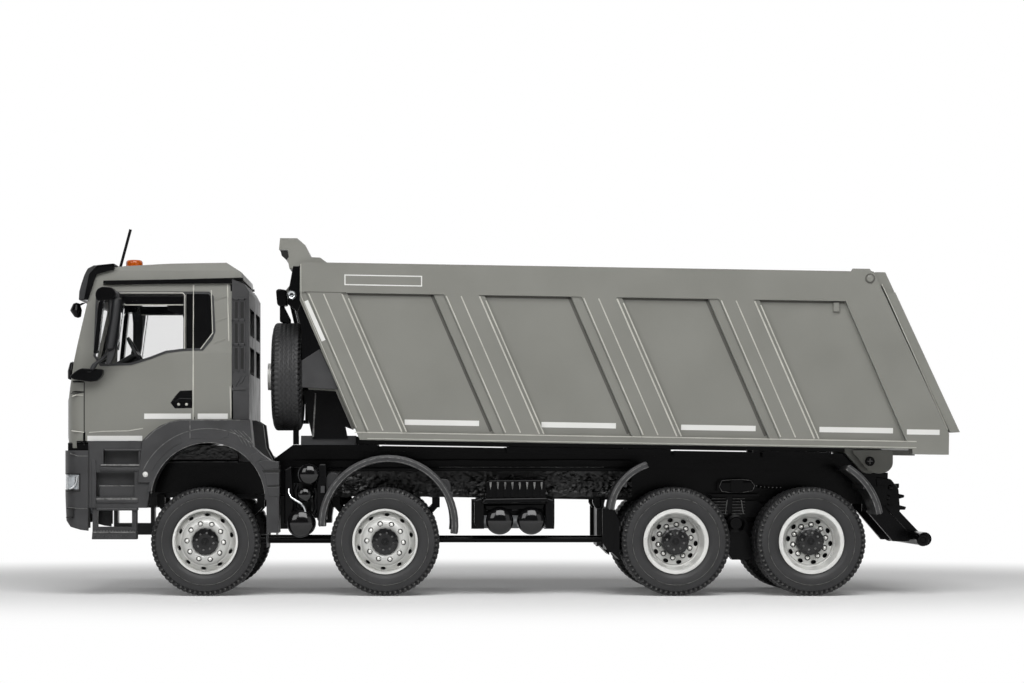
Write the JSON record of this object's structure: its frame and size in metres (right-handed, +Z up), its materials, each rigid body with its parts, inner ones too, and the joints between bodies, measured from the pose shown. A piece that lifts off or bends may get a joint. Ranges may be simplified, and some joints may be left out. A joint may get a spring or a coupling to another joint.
{
  "type": "dump truck model",
  "caption": "Four-axle 1:50 dump truck model with day cab, ribbed tipping body, swinging tailgate, telescopic tipping cylinder, upright spare wheel and twin rear tyres.",
  "frame": {"origin": "bottom centre of the bounding box, on the ground", "axes": "+X along the truck towards its tail (the cab faces -X), +Y towards the truck's right side, +Z up"},
  "size_m": [0.1839, 0.058, 0.076],
  "materials": {
    "chassis_black": "gloss",
    "body_grey": "satin",
    "trim_plastic": "matte",
    "wheel_silver": "satin",
    "tyre_rubber": "matte",
    "clear_glazing": "gloss",
    "beacon_orange": "gloss",
    "cylinder_metal": "gloss"
  },
  "bodies": {
    "chassis": {"frame_rails": "chassis_black", "subframe": "chassis_black", "engine_block": "chassis_black", "axles": "chassis_black", "leaf_springs": "chassis_black", "prop_shafts": "cylinder_metal", "cab_shell": "body_grey", "cab_glazing": "clear_glazing", "cab_interior": "chassis_black", "cab_trim": "trim_plastic", "grille": "trim_plastic", "bumper": "chassis_black", "lamps": "clear_glazing", "cab_steps": "chassis_black", "mirrors": "trim_plastic", "beacons": "beacon_orange", "rear_stack": "chassis_black", "fenders": "chassis_black", "air_tanks": "trim_plastic", "silencer": "cylinder_metal", "battery_box": "chassis_black", "fuel_tank": "cylinder_metal", "oil_tank": "trim_plastic", "spare_carrier": "chassis_black", "spare_rim": "wheel_silver", "spare_tyre": "tyre_rubber", "underrun_bar": "chassis_black", "tow_jaw": "chassis_black"},
    "wheel_1_left": {"rim_1_left": "wheel_silver", "tyre_1_left": "tyre_rubber"},
    "knuckle_body_1_left": {"knuckle_1_left": "chassis_black"},
    "wheel_1_right": {"rim_1_right": "wheel_silver", "tyre_1_right": "tyre_rubber"},
    "knuckle_body_1_right": {"knuckle_1_right": "chassis_black"},
    "wheel_2_left": {"rim_2_left": "wheel_silver", "tyre_2_left": "tyre_rubber"},
    "knuckle_body_2_left": {"knuckle_2_left": "chassis_black"},
    "wheel_2_right": {"rim_2_right": "wheel_silver", "tyre_2_right": "tyre_rubber"},
    "knuckle_body_2_right": {"knuckle_2_right": "chassis_black"},
    "wheel_3_left": {"rim_3_left": "wheel_silver", "tyre_3_left": "tyre_rubber"},
    "wheel_3_right": {"rim_3_right": "wheel_silver", "tyre_3_right": "tyre_rubber"},
    "wheel_4_left": {"rim_4_left": "wheel_silver", "tyre_4_left": "tyre_rubber"},
    "wheel_4_right": {"rim_4_right": "wheel_silver", "tyre_4_right": "tyre_rubber"},
    "track_rod_1": {"tie_rod_1": "chassis_black"},
    "track_rod_2": {"tie_rod_2": "chassis_black"},
    "bed": {"bed_floor": "body_grey", "bed_side_left": "body_grey", "bed_side_right": "body_grey", "bed_front_wall": "body_grey"},
    "gate": {"tailgate": "body_grey"},
    "barrel": {"cylinder_barrel": "cylinder_metal"},
    "stage_1": {"cylinder_stage_1": "cylinder_metal"},
    "stage_2": {"cylinder_stage_2": "cylinder_metal"},
    "rod": {"cylinder_rod": "cylinder_metal"}
  },
  "joints": [
    {"name": "steer_1_left", "type": "hinge", "parent": "chassis", "child": "knuckle_body_1_left", "pos_m": [-0.0626, -0.02, 0.0112], "axis": [0, 0, 1], "range_deg": [-20, 20]},
    {"name": "spin_1_left", "type": "hinge", "parent": "knuckle_body_1_left", "child": "wheel_1_left", "pos_m": [-0.0626, -0.02185, 0.0112], "axis": [0, 1, 0], "continuous": true},
    {"name": "steer_1_right", "type": "hinge", "parent": "chassis", "child": "knuckle_body_1_right", "pos_m": [-0.0626, 0.02, 0.0112], "axis": [0, 0, 1], "range_deg": [-20, 20]},
    {"name": "spin_1_right", "type": "hinge", "parent": "knuckle_body_1_right", "child": "wheel_1_right", "pos_m": [-0.0626, 0.02185, 0.0112], "axis": [0, 1, 0], "continuous": true},
    {"name": "steer_2_left", "type": "hinge", "parent": "chassis", "child": "knuckle_body_2_left", "pos_m": [-0.0257, -0.02, 0.0112], "axis": [0, 0, 1], "range_deg": [-14, 14]},
    {"name": "spin_2_left", "type": "hinge", "parent": "knuckle_body_2_left", "child": "wheel_2_left", "pos_m": [-0.0257, -0.02185, 0.0112], "axis": [0, 1, 0], "continuous": true},
    {"name": "steer_2_right", "type": "hinge", "parent": "chassis", "child": "knuckle_body_2_right", "pos_m": [-0.0257, 0.02, 0.0112], "axis": [0, 0, 1], "range_deg": [-14, 14]},
    {"name": "spin_2_right", "type": "hinge", "parent": "knuckle_body_2_right", "child": "wheel_2_right", "pos_m": [-0.0257, 0.02185, 0.0112], "axis": [0, 1, 0], "continuous": true},
    {"name": "spin_3_left", "type": "hinge", "parent": "chassis", "child": "wheel_3_left", "pos_m": [0.034, -0.01835, 0.0112], "axis": [0, 1, 0], "continuous": true},
    {"name": "spin_3_right", "type": "hinge", "parent": "chassis", "child": "wheel_3_right", "pos_m": [0.034, 0.01835, 0.0112], "axis": [0, 1, 0], "continuous": true},
    {"name": "spin_4_left", "type": "hinge", "parent": "chassis", "child": "wheel_4_left", "pos_m": [0.0618, -0.01835, 0.0112], "axis": [0, 1, 0], "continuous": true},
    {"name": "spin_4_right", "type": "hinge", "parent": "chassis", "child": "wheel_4_right", "pos_m": [0.0618, 0.01835, 0.0112], "axis": [0, 1, 0], "continuous": true},
    {"name": "track_1", "type": "hinge", "parent": "knuckle_body_1_left", "child": "track_rod_1", "pos_m": [-0.0596, -0.02, 0.0084], "axis": [0, 0, 1], "range_deg": [-20, 20]},
    {"name": "track_2", "type": "hinge", "parent": "knuckle_body_2_left", "child": "track_rod_2", "pos_m": [-0.0227, -0.02, 0.0084], "axis": [0, 0, 1], "range_deg": [-14, 14]},
    {"name": "bed_tip", "type": "hinge", "parent": "chassis", "child": "bed", "pos_m": [0.0756, 0, 0.0277], "axis": [0, 1, 0], "range_deg": [0, 45]},
    {"name": "gate_swing", "type": "hinge", "parent": "bed", "child": "gate", "pos_m": [0.0737, 0, 0.06531], "axis": [0, -1, 0], "range_deg": [0, 60]},
    {"name": "cylinder_swing", "type": "hinge", "parent": "chassis", "child": "barrel", "pos_m": [-0.03829, 0, 0.03199], "axis": [0, 1, 0], "range_deg": [0, 39.94]},
    {"name": "stage_1_slide", "type": "slide", "parent": "barrel", "child": "stage_1", "axis": [-0.2323, 0, 0.9726], "range_m": [0, 0.02902]},
    {"name": "stage_2_slide", "type": "slide", "parent": "stage_1", "child": "stage_2", "axis": [-0.2323, 0, 0.9726], "range_m": [0, 0.02902]},
    {"name": "rod_slide", "type": "slide", "parent": "stage_2", "child": "rod", "axis": [-0.2323, 0, 0.9726], "range_m": [0, 0.02902]}
  ],
  "couplings": [
    {"joint": "steer_1_right", "follows": "steer_1_left", "ratio": 1},
    {"joint": "steer_2_left", "follows": "steer_1_left", "ratio": 0.7},
    {"joint": "steer_2_right", "follows": "steer_1_left", "ratio": 0.7},
    {"joint": "track_1", "follows": "steer_1_left", "ratio": -1},
    {"joint": "track_2", "follows": "steer_1_left", "ratio": -0.7},
    {"joint": "cylinder_swing", "follows": "bed_tip", "ratio": 0.88753},
    {"joint": "stage_1_slide", "follows": "bed_tip", "m_per_rad": 0.036951},
    {"joint": "stage_2_slide", "follows": "bed_tip", "m_per_rad": 0.036951},
    {"joint": "rod_slide", "follows": "bed_tip", "m_per_rad": 0.036951}
  ]
}
